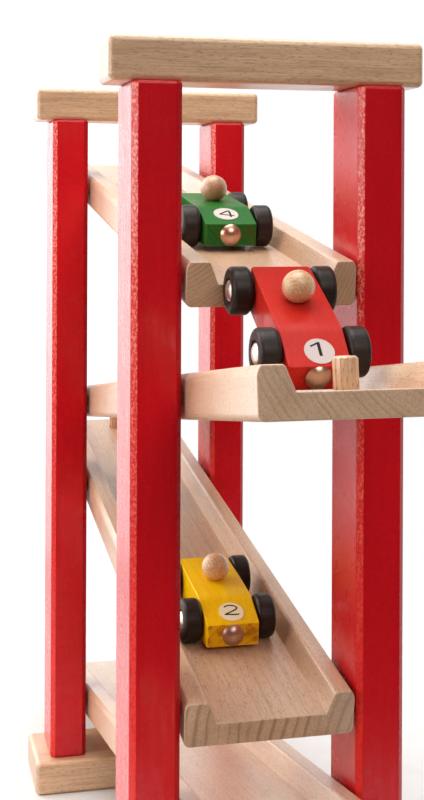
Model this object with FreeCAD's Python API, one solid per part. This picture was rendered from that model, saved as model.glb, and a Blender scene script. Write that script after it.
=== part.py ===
"""Wooden toy race track: a cascade tower with four sloping ramps and three racing cars.

Units are millimetres. X runs across the width, Y along the length and Z up.
The origin lies on the table under the middle of the tower.
The near end of the tower is at -Y, where ramps 1 and 3 have their low ends.
"""
import FreeCAD, Part

import math
import os

from FreeCAD import Placement, Rotation, Vector

# Sizes of the frame
BOARD_THICKNESS = 17.5
POST_WIDTH = 19.5
POST_DEPTH = 34.0
POST_LENGTH = 351.0
POST_CORNER_CHAMFER = 2.3
POST_CORNER_EASE = 0.5
POST_END_RADIUS = 1.2
POST_GAP = 70.0
POST_SPACING = 245.0
BEAM_LENGTH = 126.0
BEAM_DEPTH = 28.0
FOOT_DEPTH = 46.0
BEAM_EDGE_RADIUS = 2.4

# Sizes of the ramps, each one milled from a plank
RAMP_SIDE_GAP = 1.25
RAMP_FLOOR_THICKNESS = 9.0
RAMP_FLOOR_WIDTH = 43.6
RAMP_CHANNEL_SHIFT = 0.6
RAMP_WALL_LEAN = 3.4
RAMP_CORNER_RADIUS = 2.6
RAMP_SHOULDER_WIDTH = 1.6
RAMP_SHOULDER_DROP = 3.6
RAMP_SHOULDER_BULGE = 0.4
RAMP_WALL_INNER_RADIUS = 1.0
RAMP_END_RADIUS = 0.5
RAMP_OVERHANG = 240.0
RAMP_SLOPE_DEG = 8.4
EXIT_SLOPE_DEG = 9.4
RAMP_COUNT = 4
TOP_RAMP_DROP = 65.1
EXIT_RAMP_HEIGHT = 53.8

# Sizes of the stop pegs at the high ends of the ramps
PEG_RADIUS = 4.25
PEG_HEIGHT = 11.0
PEG_SEAT_DEPTH = 6.0
PEG_FROM_END = 16.5
PEG_FLUTES = 12
PEG_LAND_SHARE = 0.6
PEG_FLUTE_DEPTH = 0.3
PEG_CHAMFER = 0.9

# Sizes of the glued dowels
GLUE_GAP = 0.05
FRAME_DOWEL_RADIUS = 4.0
FRAME_DOWEL_IN_POST = 18.0
FRAME_DOWEL_IN_BEAM = 12.0
RAMP_DOWEL_RADIUS = 3.0
RAMP_DOWEL_IN_POST = 12.0
RAMP_DOWEL_IN_RAMP = 8.5
DOWEL_CHAMFER = 0.6

# Sizes of the cars, measured back from the nose and up from the floor
CAR_LENGTH = 58.5
CAR_WIDTH = 23.3
CAR_NOSE_WIDTH = 22.7
CAR_GROUND_CLEARANCE = 2.7
CAR_NOSE_HEIGHT = 9.5
CAR_DECK_HEIGHT = 17.5
CAR_HOOD_LENGTH = 16.0
CAR_BEND_RADIUS = 17.0
CAR_CORNER_RADIUS = 1.2
CAR_EDGE_RADIUS = 0.5
CAR_FRONT_AXLE = 12.6
CAR_WHEELBASE = 41.8

# Sizes of the wheels, axles and caps
WHEEL_RADIUS = 9.1
WHEEL_WIDTH = 7.8
WHEEL_SHOULDER_RADIUS = 1.8
WHEEL_HALF_TRACK = 20.05
WHEEL_RECESS_RADIUS = 5.0
WHEEL_RECESS_DEPTH = 1.0
WHEEL_RECESS_TAPER = 0.5
WHEEL_BOSS_RADIUS = 3.2
WHEEL_TO_FLOOR = 0.3
WHEEL_TO_BODY = 0.3
WHEEL_TO_CAP = 0.25
AXLE_RADIUS = 1.5
AXLE_RUNNING_GAP = 0.05
CAP_RADIUS = 3.9
CAP_HEIGHT = 1.7
CAP_RIM = 0.4
CAP_SEAT_DEPTH = 0.8

# Sizes of the driver, the nose tack and the number disc
BALL_RADIUS = 6.0
BALL_CENTRE_HEIGHT = 5.4
BALL_FROM_NOSE = 34.8
SPIGOT_RADIUS = 2.0
SPIGOT_LENGTH = 5.0
TACK_RADIUS = 4.7
TACK_HEIGHT = 2.3
TACK_SHANK_RADIUS = 0.7
TACK_SHANK_LENGTH = 6.0
DISC_RADIUS = 5.4
DISC_THICKNESS = 0.25

# Places of the cars: noses measured up the slope from a ramp's low end
GREEN_NOSE = 66.5
YELLOW_NOSE = 55.3
GREEN_SIDE_OFFSET = 0.2
YELLOW_SIDE_OFFSET = -1.0

# Places of the number discs, stuck on by hand: down the hood from its crease and to the side
GREEN_DISC_DOWN = 7.6
YELLOW_DISC_DOWN = 9.6
RED_DISC_DOWN = 10.4
GREEN_DISC_SIDE = -0.4
YELLOW_DISC_SIDE = 0.6
RED_DISC_SIDE = 0.9

# Place of the car that drops nose first behind the second ramp's peg
RED_NOSE_TO_PEG = 29.2
RED_NOSE_GAP = 0.6
RED_WHEEL_GAP = 1.18
STEEPEST_PITCH_DEG = 80.0
PITCH_ACCURACY_DEG = 1e-7

# Values that follow from the sizes above
BEAM_LEVEL = BOARD_THICKNESS + POST_LENGTH
POST_X = POST_GAP / 2 + POST_WIDTH / 2
POST_Y = POST_SPACING / 2
POST_OUTER_Y = POST_Y + POST_DEPTH / 2
RAMP_HALF_WIDTH = POST_GAP / 2 - RAMP_SIDE_GAP
AXLE_HEIGHT = WHEEL_TO_FLOOR + WHEEL_RADIUS
HOOD_TOP = CAR_GROUND_CLEARANCE + CAR_NOSE_HEIGHT
HOOD_RISE = CAR_DECK_HEIGHT - HOOD_TOP
HOOD_ANGLE = math.atan2(HOOD_RISE, CAR_HOOD_LENGTH)
TOP_RAMP_HEIGHT = BEAM_LEVEL - TOP_RAMP_DROP
RAMP_PITCH = (TOP_RAMP_HEIGHT - EXIT_RAMP_HEIGHT) / (RAMP_COUNT - 1)
CAP_BASE_X = WHEEL_HALF_TRACK - WHEEL_RECESS_DEPTH + WHEEL_TO_CAP

X_AXIS = Vector(1, 0, 0)
Y_AXIS = Vector(0, 1, 0)
Z_AXIS = Vector(0, 0, 1)

OUT_DIR = "parts"


def is_exit(index):
    """True for the lowest ramp, which is steeper and runs out past the far posts."""
    return index == RAMP_COUNT - 1


def slope_of(index):
    """Slope of a ramp in degrees."""
    return EXIT_SLOPE_DEG if is_exit(index) else RAMP_SLOPE_DEG


def faces_near(index):
    """True for a ramp that descends towards the near end."""
    return index % 2 == 0


def mid_height(index):
    """Height of a ramp's underside at the middle of the tower."""
    return TOP_RAMP_HEIGHT - index * RAMP_PITCH


def has_peg(index):
    """True for a ramp with a stop peg: every ramp that catches cars from the one above."""
    return index > 0


def channel_shift(index):
    """Offset of a ramp's channel in the ramp's own frame; in the tower it lies to the right."""
    return RAMP_CHANNEL_SHIFT if faces_near(index) else -RAMP_CHANNEL_SHIFT


def low_end_y(index):
    """Distance of a ramp's low end from the middle of the tower."""
    return RAMP_OVERHANG if is_exit(index) else POST_OUTER_Y


def ramp_length(index):
    """Length of a ramp along its slope."""
    return (low_end_y(index) + RAMP_OVERHANG) / math.cos(math.radians(slope_of(index)))


def ramp_placement(index):
    """Place a ramp drawn with its low end at the origin, rising along +Y from its underside."""
    angle = math.radians(slope_of(index))
    start_y = -low_end_y(index) + BOARD_THICKNESS / 2 * math.sin(angle)
    start_z = mid_height(index) + math.tan(angle) * start_y
    tilt = Placement(Vector(0, start_y, start_z), Rotation(X_AXIS, slope_of(index)))
    if faces_near(index):
        return tilt
    return Placement(Vector(0, 0, 0), Rotation(Z_AXIS, 180)).multiply(tilt)


def ramp_core_height(index, side_y):
    """Height of the middle of a ramp's board where it passes a post at side_y."""
    angle = math.radians(slope_of(index))
    along = side_y if faces_near(index) else -side_y
    half_board = BOARD_THICKNESS / 2 / math.cos(angle)
    return mid_height(index) + math.tan(angle) * along + half_board


def cylinder_along(axis, start, radius, length):
    """Cylinder from a start point along an axis."""
    return Part.makeCylinder(radius, length, start, axis)


def revolve_profile(points_and_arcs, axis=Z_AXIS):
    """Solid of revolution about an axis through the origin from a closed list of edges."""
    wire = Part.Wire(Part.__sortEdges__(points_and_arcs))
    return Part.Face(wire).revolve(Vector(0, 0, 0), axis, 360)


def line(start, end):
    """Straight edge between two points."""
    return Part.LineSegment(start, end).toShape()


def arc(start, middle, end):
    """Round edge through three points."""
    return Part.Arc(start, middle, end).toShape()


def chamfered_pin(radius, length, chamfer):
    """Round pin along +Z from the origin with both ends chamfered."""
    pin = Part.makeCylinder(radius, length)
    rims = [edge for edge in pin.Edges if edge.Closed and isinstance(edge.Curve, Part.Circle)]
    return pin.makeChamfer(chamfer, rims)


def rounded_block(width, depth, height, radius):
    """Block centred in X and Y on the origin, standing on Z = 0, with every edge rounded."""
    block = Part.makeBox(width, depth, height, Vector(-width / 2, -depth / 2, 0))
    return block.makeFillet(radius, block.Edges)


def export(shape, node):
    """Write one node."""
    shape.exportStep(os.path.join(OUT_DIR, node + ".step"))
    print(node, len(shape.Solids), "solid", round(shape.Volume / 1000, 2), "cm3")


def post_bores(side, row):
    """Blind bores of one post: one at each end and one for each ramp that it carries."""
    centre_x = side * POST_X
    centre_y = row * POST_Y
    radius = FRAME_DOWEL_RADIUS + GLUE_GAP
    foot = Vector(centre_x, centre_y, BOARD_THICKNESS)
    top = Vector(centre_x, centre_y, BEAM_LEVEL)
    bores = [
        cylinder_along(Z_AXIS, foot, radius, FRAME_DOWEL_IN_POST + GLUE_GAP),
        cylinder_along(-Z_AXIS, top, radius, FRAME_DOWEL_IN_POST + GLUE_GAP),
    ]
    for index in range(RAMP_COUNT):
        mouth = Vector(side * POST_GAP / 2, centre_y, ramp_core_height(index, centre_y))
        depth = RAMP_DOWEL_IN_POST + GLUE_GAP
        bores.append(cylinder_along(X_AXIS * side, mouth, RAMP_DOWEL_RADIUS + GLUE_GAP, depth))
    return bores


def upright_edges(solid):
    """Straight edges of a solid that run along Z."""
    return [edge for edge in solid.Edges if len(edge.Vertexes) == 2 and abs(edge.tangentAt(0).z) > 0.5]


def make_post(side, row):
    """Lacquered post with chamfered corners and eased edges."""
    post = Part.makeBox(POST_WIDTH, POST_DEPTH, POST_LENGTH, Vector(-POST_WIDTH / 2, -POST_DEPTH / 2, 0))
    post = post.makeChamfer(POST_CORNER_CHAMFER, upright_edges(post))
    post = post.makeFillet(POST_CORNER_EASE, upright_edges(post))
    rims = []
    for face in post.Faces:
        if face.normalAt(0, 0).z > 0.5 or face.normalAt(0, 0).z < -0.5:
            rims += face.Edges
    post = post.makeFillet(POST_END_RADIUS, rims)
    post.translate(Vector(side * POST_X, row * POST_Y, BOARD_THICKNESS))
    return post.cut(post_bores(side, row))


def make_beam(row, depth, level, dowel_side):
    """Cross beam under or over two posts, with a blind dowel bore for each post."""
    beam = rounded_block(BEAM_LENGTH, depth, BOARD_THICKNESS, BEAM_EDGE_RADIUS)
    beam.translate(Vector(0, row * POST_Y, level))
    seat = level if dowel_side > 0 else level + BOARD_THICKNESS
    bores = []
    for side in (-1, 1):
        mouth = Vector(side * POST_X, row * POST_Y, seat)
        depth_in_beam = FRAME_DOWEL_IN_BEAM + GLUE_GAP
        bores.append(cylinder_along(Z_AXIS * dowel_side, mouth, FRAME_DOWEL_RADIUS + GLUE_GAP, depth_in_beam))
    return beam.cut(bores)


def make_frame_dowels():
    """The eight hidden dowels between the posts and the cross beams."""
    length = FRAME_DOWEL_IN_POST + FRAME_DOWEL_IN_BEAM
    dowels = []
    for start_z in (BOARD_THICKNESS - FRAME_DOWEL_IN_BEAM, BEAM_LEVEL - FRAME_DOWEL_IN_POST):
        for side in (-1, 1):
            for row in (-1, 1):
                dowel = chamfered_pin(FRAME_DOWEL_RADIUS, length, DOWEL_CHAMFER)
                dowel.translate(Vector(side * POST_X, row * POST_Y, start_z))
                dowels.append(dowel)
    return Part.makeCompound(dowels)


def half_section(shift):
    """Right half of a ramp's section, from underside to floor, its wall moved outwards by a shift."""
    half = RAMP_HALF_WIDTH
    corner = RAMP_CORNER_RADIUS
    lip = RAMP_WALL_INNER_RADIUS
    slant = 1 - math.sqrt(0.5)
    foot = Vector(RAMP_FLOOR_WIDTH / 2 + shift, 0, RAMP_FLOOR_THICKNESS)
    crest = foot + Vector(RAMP_WALL_LEAN, 0, BOARD_THICKNESS - RAMP_FLOOR_THICKNESS)
    wall = (crest - foot).normalize()
    shoulder_low = Vector(half, 0, BOARD_THICKNESS - RAMP_SHOULDER_DROP)
    shoulder_top = Vector(half - RAMP_SHOULDER_WIDTH, 0, BOARD_THICKNESS)
    outward = Vector(RAMP_SHOULDER_DROP, 0, RAMP_SHOULDER_WIDTH).normalize()
    shoulder_mid = (shoulder_low + shoulder_top) / 2 + outward * RAMP_SHOULDER_BULGE
    lip_out = crest + X_AXIS * lip
    lip_in = crest - wall * lip
    lip_mid = crest + (X_AXIS - wall) * lip * slant
    corner_mid = Vector(half - corner * slant, 0, corner * slant)
    return [
        line(Vector(0, 0, 0), Vector(half - corner, 0, 0)),
        arc(Vector(half - corner, 0, 0), corner_mid, Vector(half, 0, corner)),
        line(Vector(half, 0, corner), shoulder_low),
        arc(shoulder_low, shoulder_mid, shoulder_top),
        line(shoulder_top, lip_out),
        arc(lip_out, lip_mid, lip_in),
        line(lip_in, foot),
        line(foot, Vector(0, 0, RAMP_FLOOR_THICKNESS)),
    ]


def peg_place(index):
    """Foot of a stop peg in the ramp's own frame."""
    along = ramp_length(index) - PEG_FROM_END
    return Vector(channel_shift(index), along, RAMP_FLOOR_THICKNESS - PEG_SEAT_DEPTH)


def ramp_dowel_starts(index):
    """Inner ends of the four dowels of a ramp, each with the side that it points to."""
    starts = []
    for side in (-1, 1):
        for row in (-1, 1):
            height = ramp_core_height(index, row * POST_Y)
            inner_x = RAMP_HALF_WIDTH - RAMP_DOWEL_IN_RAMP
            starts.append((side, Vector(side * inner_x, row * POST_Y, height)))
    return starts


def make_ramp(index):
    """Channel milled along a plank with eased ends, its peg seat and its four dowel bores."""
    mirror = FreeCAD.Matrix()
    mirror.scale(-1, 1, 1)
    right = half_section(channel_shift(index))
    left = [edge.transformGeometry(mirror) for edge in half_section(-channel_shift(index))]
    section = Part.Face(Part.Wire(Part.__sortEdges__(right + left)))
    ramp = section.extrude(Y_AXIS * ramp_length(index))
    end_rims = [edge for edge in ramp.Edges if edge.BoundBox.YLength < 0.001]
    ramp = ramp.makeFillet(RAMP_END_RADIUS, end_rims)
    if has_peg(index):
        ramp = ramp.cut(cylinder_along(Z_AXIS, peg_place(index), PEG_RADIUS + GLUE_GAP, BOARD_THICKNESS))
    ramp.Placement = ramp_placement(index)
    bores = []
    for side, start in ramp_dowel_starts(index):
        reach = RAMP_DOWEL_IN_RAMP + RAMP_SIDE_GAP
        start = start - X_AXIS * side * GLUE_GAP
        bores.append(cylinder_along(X_AXIS * side, start, RAMP_DOWEL_RADIUS + GLUE_GAP, reach))
    return ramp.cut(bores)


def make_ramp_dowels(index):
    """The four hidden dowels that carry one ramp between the posts."""
    length = RAMP_DOWEL_IN_RAMP + RAMP_SIDE_GAP + RAMP_DOWEL_IN_POST
    dowels = []
    for side, start in ramp_dowel_starts(index):
        dowel = chamfered_pin(RAMP_DOWEL_RADIUS, length, DOWEL_CHAMFER)
        dowel.Placement = Placement(start, Rotation(Z_AXIS, X_AXIS * side))
        dowels.append(dowel)
    return Part.makeCompound(dowels)


def make_peg(index):
    """Fluted hardwood peg with a chamfered top."""
    step = 2 * math.pi / PEG_FLUTES
    land = PEG_LAND_SHARE * step
    inner = PEG_RADIUS - PEG_FLUTE_DEPTH
    edges = []
    for flute in range(PEG_FLUTES):
        start = flute * step
        stops = [start, start + land / 2, start + land, start + (land + step) / 2, start + step]
        radii = [PEG_RADIUS, PEG_RADIUS, PEG_RADIUS, inner, PEG_RADIUS]
        points = [Vector(r * math.cos(a), r * math.sin(a), 0) for r, a in zip(radii, stops)]
        edges.append(arc(points[0], points[1], points[2]))
        edges.append(arc(points[2], points[3], points[4]))
    length = PEG_SEAT_DEPTH + PEG_HEIGHT
    peg = Part.Face(Part.Wire(Part.__sortEdges__(edges))).extrude(Z_AXIS * length)
    peg = peg.common(chamfered_pin(PEG_RADIUS, length, PEG_CHAMFER))
    peg.translate(peg_place(index))
    peg.Placement = ramp_placement(index).multiply(peg.Placement)
    return peg


def car_side_profile():
    """Side outline of a car body: flat nose, sloping hood, soft bend, level deck."""
    bottom = CAR_GROUND_CLEARANCE
    crease = Vector(0, CAR_HOOD_LENGTH, CAR_DECK_HEIGHT)
    reach = CAR_BEND_RADIUS * math.tan(HOOD_ANGLE / 2)
    bend_start = crease - Vector(0, math.cos(HOOD_ANGLE), math.sin(HOOD_ANGLE)) * reach
    bend_end = crease + Y_AXIS * reach
    centre = bend_end - Z_AXIS * CAR_BEND_RADIUS
    halfway = Vector(0, -math.sin(HOOD_ANGLE / 2), math.cos(HOOD_ANGLE / 2))
    corners = [
        bend_end,
        Vector(0, CAR_LENGTH, CAR_DECK_HEIGHT),
        Vector(0, CAR_LENGTH, bottom),
        Vector(0, 0, bottom),
        Vector(0, 0, HOOD_TOP),
        bend_start,
    ]
    edges = [line(start, end) for start, end in zip(corners, corners[1:])]
    edges.append(arc(bend_start, centre + halfway * CAR_BEND_RADIUS, bend_end))
    return Part.Face(Part.Wire(Part.__sortEdges__(edges)))


def car_plan():
    """Plan outline of a car body: gently bowed flanks and rounded corners."""
    nose = CAR_NOSE_WIDTH / 2
    half = CAR_WIDTH / 2
    middle = CAR_LENGTH / 2
    tail = CAR_LENGTH
    edges = [
        line(Vector(-nose, 0, 0), Vector(nose, 0, 0)),
        arc(Vector(nose, 0, 0), Vector(half, middle, 0), Vector(nose, tail, 0)),
        line(Vector(nose, tail, 0), Vector(-nose, tail, 0)),
        arc(Vector(-nose, tail, 0), Vector(-half, middle, 0), Vector(-nose, 0, 0)),
    ]
    plan = Part.Face(Part.Wire(Part.__sortEdges__(edges)))
    block = plan.extrude(Z_AXIS * (CAR_DECK_HEIGHT + 1))
    return block.makeFillet(CAR_CORNER_RADIUS, upright_edges(block))


def axle_places():
    """Distances of the two axles from the nose."""
    return (CAR_FRONT_AXLE, CAR_FRONT_AXLE + CAR_WHEELBASE)


def make_car_body():
    """Car body with its axle bores and the seats of the driver and the nose tack."""
    slab = car_side_profile().extrude(X_AXIS * CAR_WIDTH)
    slab.translate(Vector(-CAR_WIDTH / 2, 0, 0))
    body = slab.common(car_plan())
    tops = [edge for edge in body.Edges if edge.BoundBox.ZMin > HOOD_TOP - 0.01 and edge.BoundBox.YLength > 1]
    body = body.makeFillet(CAR_EDGE_RADIUS, tops)
    bores = []
    for place in axle_places():
        start = Vector(-CAR_WIDTH, place, AXLE_HEIGHT)
        bores.append(cylinder_along(X_AXIS, start, AXLE_RADIUS, 2 * CAR_WIDTH))
    spigot_top = Vector(0, BALL_FROM_NOSE, CAR_DECK_HEIGHT)
    bores.append(cylinder_along(-Z_AXIS, spigot_top, SPIGOT_RADIUS + GLUE_GAP, SPIGOT_LENGTH + GLUE_GAP))
    tack_at = Vector(0, 0, CAR_GROUND_CLEARANCE + CAR_NOSE_HEIGHT / 2)
    bores.append(cylinder_along(Y_AXIS, tack_at, TACK_SHANK_RADIUS, TACK_SHANK_LENGTH + GLUE_GAP))
    return body.cut(bores)


def make_driver():
    """Turned ball with a flat underside and a spigot that is glued into the deck."""
    flat = math.sqrt(BALL_RADIUS ** 2 - BALL_CENTRE_HEIGHT ** 2)
    underside = -BALL_CENTRE_HEIGHT
    tip = underside - SPIGOT_LENGTH
    edges = [
        line(Vector(0, 0, tip), Vector(SPIGOT_RADIUS, 0, tip)),
        line(Vector(SPIGOT_RADIUS, 0, tip), Vector(SPIGOT_RADIUS, 0, underside)),
        line(Vector(SPIGOT_RADIUS, 0, underside), Vector(flat, 0, underside)),
        arc(Vector(flat, 0, underside), Vector(BALL_RADIUS, 0, 0), Vector(0, 0, BALL_RADIUS)),
        line(Vector(0, 0, BALL_RADIUS), Vector(0, 0, tip)),
    ]
    ball = revolve_profile(edges)
    ball.translate(Vector(0, BALL_FROM_NOSE, CAR_DECK_HEIGHT + BALL_CENTRE_HEIGHT))
    return ball


def make_tack():
    """Domed metal tack driven into the middle of the nose."""
    crown = TACK_HEIGHT / 2 + TACK_RADIUS ** 2 / (2 * TACK_HEIGHT)
    half_angle = math.asin(TACK_RADIUS / crown) / 2
    middle = Vector(crown * math.sin(half_angle), 0, TACK_HEIGHT - crown + crown * math.cos(half_angle))
    edges = [
        line(Vector(0, 0, -TACK_SHANK_LENGTH), Vector(TACK_SHANK_RADIUS, 0, -TACK_SHANK_LENGTH)),
        line(Vector(TACK_SHANK_RADIUS, 0, -TACK_SHANK_LENGTH), Vector(TACK_SHANK_RADIUS, 0, 0)),
        line(Vector(TACK_SHANK_RADIUS, 0, 0), Vector(TACK_RADIUS, 0, 0)),
        arc(Vector(TACK_RADIUS, 0, 0), middle, Vector(0, 0, TACK_HEIGHT)),
        line(Vector(0, 0, TACK_HEIGHT), Vector(0, 0, -TACK_SHANK_LENGTH)),
    ]
    tack = revolve_profile(edges)
    place = Vector(0, 0, CAR_GROUND_CLEARANCE + CAR_NOSE_HEIGHT / 2)
    tack.Placement = Placement(place, Rotation(Z_AXIS, -Y_AXIS))
    return tack


def make_number_disc(down, side):
    """Thin round disc that carries the racing number on the hood."""
    along = CAR_HOOD_LENGTH - down * math.cos(HOOD_ANGLE)
    height = CAR_DECK_HEIGHT - down * math.sin(HOOD_ANGLE)
    normal = Vector(0, -math.sin(HOOD_ANGLE), math.cos(HOOD_ANGLE))
    return Part.makeCylinder(DISC_RADIUS, DISC_THICKNESS, Vector(side, along, height), normal)


def make_wheel(side, place):
    """Broad wheel: rounded shoulders, a recess for the cap and a short boss towards the body."""
    outer = WHEEL_HALF_TRACK
    inner = WHEEL_HALF_TRACK - WHEEL_WIDTH
    boss = CAR_WIDTH / 2 + WHEEL_TO_BODY
    bore = AXLE_RADIUS + AXLE_RUNNING_GAP
    recess_floor = outer - WHEEL_RECESS_DEPTH
    recess_foot = WHEEL_RECESS_RADIUS - WHEEL_RECESS_TAPER
    shoulder = WHEEL_SHOULDER_RADIUS
    slant = shoulder * (1 - math.sqrt(0.5))
    edges = [
        line(Vector(boss, 0, bore), Vector(boss, 0, WHEEL_BOSS_RADIUS)),
        line(Vector(boss, 0, WHEEL_BOSS_RADIUS), Vector(inner, 0, WHEEL_BOSS_RADIUS)),
        line(Vector(inner, 0, WHEEL_BOSS_RADIUS), Vector(inner, 0, WHEEL_RADIUS - shoulder)),
        arc(
            Vector(inner, 0, WHEEL_RADIUS - shoulder),
            Vector(inner + slant, 0, WHEEL_RADIUS - slant),
            Vector(inner + shoulder, 0, WHEEL_RADIUS),
        ),
        line(Vector(inner + shoulder, 0, WHEEL_RADIUS), Vector(outer - shoulder, 0, WHEEL_RADIUS)),
        arc(
            Vector(outer - shoulder, 0, WHEEL_RADIUS),
            Vector(outer - slant, 0, WHEEL_RADIUS - slant),
            Vector(outer, 0, WHEEL_RADIUS - shoulder),
        ),
        line(Vector(outer, 0, WHEEL_RADIUS - shoulder), Vector(outer, 0, WHEEL_RECESS_RADIUS)),
        line(Vector(outer, 0, WHEEL_RECESS_RADIUS), Vector(recess_floor, 0, recess_foot)),
        line(Vector(recess_floor, 0, recess_foot), Vector(recess_floor, 0, bore)),
        line(Vector(recess_floor, 0, bore), Vector(boss, 0, bore)),
    ]
    wheel = revolve_profile(edges, X_AXIS)
    if side < 0:
        wheel.rotate(Vector(0, 0, 0), Z_AXIS, 180)
    wheel.translate(Vector(0, place, AXLE_HEIGHT))
    return wheel


def make_axles():
    """The two steel axle rods of a car."""
    length = 2 * (CAP_BASE_X + CAP_SEAT_DEPTH)
    rods = [
        cylinder_along(X_AXIS, Vector(-length / 2, place, AXLE_HEIGHT), AXLE_RADIUS, length)
        for place in axle_places()
    ]
    return Part.makeCompound(rods)


def make_cap():
    """Domed push-on cap along +X, drawn with its rim at the origin."""
    rise = CAP_HEIGHT - CAP_RIM
    crown = rise / 2 + CAP_RADIUS ** 2 / (2 * rise)
    half_angle = math.asin(CAP_RADIUS / crown) / 2
    middle = Vector(CAP_HEIGHT - crown + crown * math.cos(half_angle), 0, crown * math.sin(half_angle))
    edges = [
        line(Vector(0, 0, AXLE_RADIUS), Vector(0, 0, CAP_RADIUS)),
        line(Vector(0, 0, CAP_RADIUS), Vector(CAP_RIM, 0, CAP_RADIUS)),
        arc(Vector(CAP_RIM, 0, CAP_RADIUS), middle, Vector(CAP_HEIGHT, 0, 0)),
        line(Vector(CAP_HEIGHT, 0, 0), Vector(CAP_SEAT_DEPTH, 0, 0)),
        line(Vector(CAP_SEAT_DEPTH, 0, 0), Vector(CAP_SEAT_DEPTH, 0, AXLE_RADIUS)),
        line(Vector(CAP_SEAT_DEPTH, 0, AXLE_RADIUS), Vector(0, 0, AXLE_RADIUS)),
    ]
    return revolve_profile(edges, X_AXIS)


def make_axle_caps():
    """The four caps that keep a car's wheels on their axles."""
    caps = []
    for side in (-1, 1):
        for place in axle_places():
            cap = make_cap()
            if side < 0:
                cap.rotate(Vector(0, 0, 0), Z_AXIS, 180)
            cap.translate(Vector(side * CAP_BASE_X, place, AXLE_HEIGHT))
            caps.append(cap)
    return Part.makeCompound(caps)


def car_on_ramp(index, nose, offset):
    """Placement of a car that stands on a ramp with its nose towards the low end."""
    on_floor = Placement(Vector(offset, nose, RAMP_FLOOR_THICKNESS), Rotation())
    return ramp_placement(index).multiply(on_floor)


def nose_down_car(pitch):
    """Placement of a car at a pitch, the lower edge of its nose just over the second ramp's floor."""
    foot = Vector(0, peg_place(1).y - RED_NOSE_TO_PEG, RAMP_FLOOR_THICKNESS + RED_NOSE_GAP)
    turned = Placement(ramp_placement(1).multVec(foot), Rotation(X_AXIS, pitch))
    return turned.multiply(Placement(-Z_AXIS * CAR_GROUND_CLEARANCE, Rotation()))


def rear_wheel_gap(pitch):
    """Gap between the rear wheels of a nose-down car and the low end of the first ramp."""
    rear_axle = Vector(0, axle_places()[1], AXLE_HEIGHT)
    centre = ramp_placement(0).inverse().multVec(nose_down_car(pitch).multVec(rear_axle))
    beyond = max(-centre.y, 0)
    above = centre.z - RAMP_FLOOR_THICKNESS
    return math.hypot(beyond, max(above, 0)) - WHEEL_RADIUS


def tipping_car():
    """Placement of the car that drops nose first off the first ramp, its rear wheels just clear."""
    low, high = 0.0, STEEPEST_PITCH_DEG
    while high - low > PITCH_ACCURACY_DEG:
        pitch = (low + high) / 2
        if rear_wheel_gap(pitch) < RED_WHEEL_GAP:
            low = pitch
        else:
            high = pitch
    return nose_down_car(high)


def place_and_export(shape, placement, node):
    """Move a shape drawn in a car's own frame to its place and write it."""
    moved = shape.copy()
    moved.Placement = placement.multiply(shape.Placement)
    export(moved, node)


def export_car(colour, placement, disc_down, disc_side):
    """Write the ten nodes of one car."""
    place_and_export(make_car_body(), placement, colour + "_car_body")
    place_and_export(make_driver(), placement, colour + "_car_driver")
    place_and_export(make_tack(), placement, colour + "_car_nose_tack")
    place_and_export(make_number_disc(disc_down, disc_side), placement, colour + "_car_number_disc")
    place_and_export(make_axles(), placement, colour + "_car_axles")
    place_and_export(make_axle_caps(), placement, colour + "_car_axle_caps")
    for end, place in zip(("front", "rear"), axle_places()):
        for side, name in ((-1, "left"), (1, "right")):
            node = f"{colour}_car_wheel_{end}_{name}"
            place_and_export(make_wheel(side, place), placement, node)


def main():
    os.makedirs("parts", exist_ok=True)
    rows = ((-1, "near"), (1, "far"))
    for row, row_name in rows:
        for side, side_name in ((-1, "left"), (1, "right")):
            export(make_post(side, row), f"post_{row_name}_{side_name}")
        export(make_beam(row, BEAM_DEPTH, BEAM_LEVEL, 1), f"top_beam_{row_name}")
        export(make_beam(row, FOOT_DEPTH, 0, -1), f"foot_beam_{row_name}")
    export(make_frame_dowels(), "frame_dowels")
    for index in range(RAMP_COUNT):
        export(make_ramp(index), f"ramp_{index + 1}")
        export(make_ramp_dowels(index), f"ramp_dowels_{index + 1}")
        if has_peg(index):
            export(make_peg(index), f"ramp_peg_{index + 1}")
    green_place = car_on_ramp(0, GREEN_NOSE, GREEN_SIDE_OFFSET)
    yellow_place = car_on_ramp(2, YELLOW_NOSE, YELLOW_SIDE_OFFSET)
    export_car("green", green_place, GREEN_DISC_DOWN, GREEN_DISC_SIDE)
    export_car("yellow", yellow_place, YELLOW_DISC_DOWN, YELLOW_DISC_SIDE)
    export_car("red", tipping_car(), RED_DISC_DOWN, RED_DISC_SIDE)


main()
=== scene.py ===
# %% [markdown]
# # A wooden toy race track, dressed for its picture
#
# The construction drawing already gives every board, ramp, peg, wheel and axle. Here they get
# their finishes: oiled beech, red lacquer, coloured stain, dark turned wheels and bright metal
# domes. Only the printed numbers on the labels are new shapes. All lengths are in metres, and
# the wood patterns are written in millimetres, because a maker thinks in them.

# %% Load the construction
import math

import bpy
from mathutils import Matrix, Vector


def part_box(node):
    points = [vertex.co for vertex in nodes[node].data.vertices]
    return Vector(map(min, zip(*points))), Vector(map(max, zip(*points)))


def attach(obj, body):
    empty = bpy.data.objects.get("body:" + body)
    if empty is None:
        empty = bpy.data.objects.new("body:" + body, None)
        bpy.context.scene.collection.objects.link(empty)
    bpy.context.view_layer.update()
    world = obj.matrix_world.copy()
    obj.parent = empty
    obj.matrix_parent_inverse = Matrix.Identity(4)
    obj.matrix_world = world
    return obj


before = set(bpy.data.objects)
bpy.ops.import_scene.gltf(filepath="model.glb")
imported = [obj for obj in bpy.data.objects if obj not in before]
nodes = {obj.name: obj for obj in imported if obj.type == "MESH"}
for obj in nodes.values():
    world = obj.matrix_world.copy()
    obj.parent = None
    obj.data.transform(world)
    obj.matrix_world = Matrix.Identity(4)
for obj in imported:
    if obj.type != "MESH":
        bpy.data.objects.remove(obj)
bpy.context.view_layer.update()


print("pieces loaded:", len(nodes))

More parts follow.
